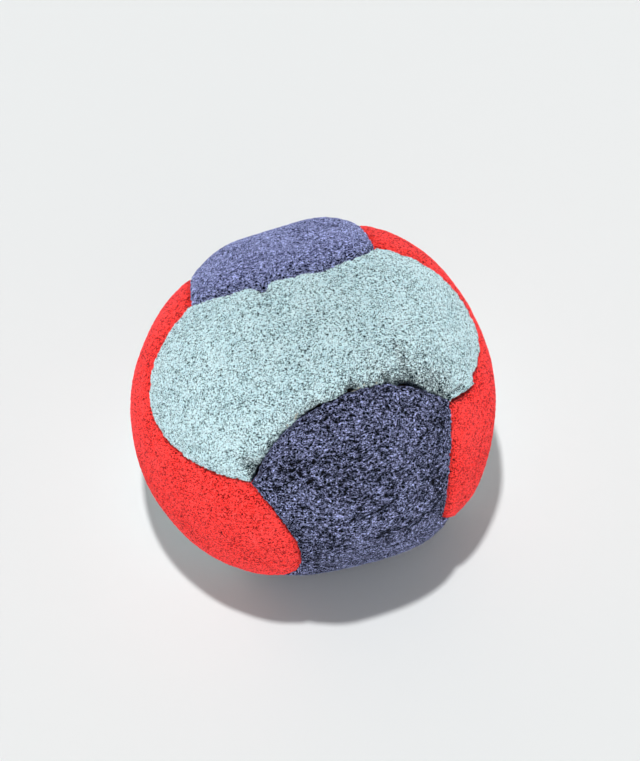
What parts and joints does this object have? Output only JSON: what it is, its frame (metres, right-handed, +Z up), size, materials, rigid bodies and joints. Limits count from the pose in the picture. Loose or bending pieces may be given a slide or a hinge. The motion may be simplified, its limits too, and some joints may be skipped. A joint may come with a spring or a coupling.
{
  "type": "footbag",
  "caption": "Small sand-filled kick bag sewn from hourglass suede panels in pale blue, navy and red, resting slightly flattened.",
  "frame": {"origin": "centre of the flattened underside, on the floor under the middle of the bag", "axes": "+Z up, +X to the right-hand red panel along the length of the top panel, -Y to the front navy panel"},
  "size_m": [0.0528, 0.0516, 0.0474],
  "materials": {
    "pale_blue_suede": "napped suede, matt",
    "navy_suede": "napped suede, matt",
    "red_suede": "napped suede, matt",
    "sewing_thread": "twisted thread, matt",
    "sand": "loose dry grains"
  },
  "bodies": {
    "root": {"blue_panel_top": "pale_blue_suede", "blue_panel_bottom": "pale_blue_suede", "navy_panel_front": "navy_suede", "navy_panel_back": "navy_suede", "red_panel_left": "red_suede", "red_panel_right": "red_suede", "thread_blue_top_navy_front": "sewing_thread", "thread_blue_top_navy_back": "sewing_thread", "thread_blue_top_red_left": "sewing_thread", "thread_blue_top_red_right": "sewing_thread", "thread_blue_bottom_navy_front": "sewing_thread", "thread_blue_bottom_navy_back": "sewing_thread", "thread_blue_bottom_red_left": "sewing_thread", "thread_blue_bottom_red_right": "sewing_thread", "thread_navy_front_red_left": "sewing_thread", "thread_navy_front_red_right": "sewing_thread", "thread_navy_back_red_left": "sewing_thread", "thread_navy_back_red_right": "sewing_thread", "sand_fill": "sand"}
  },
  "joints": []
}
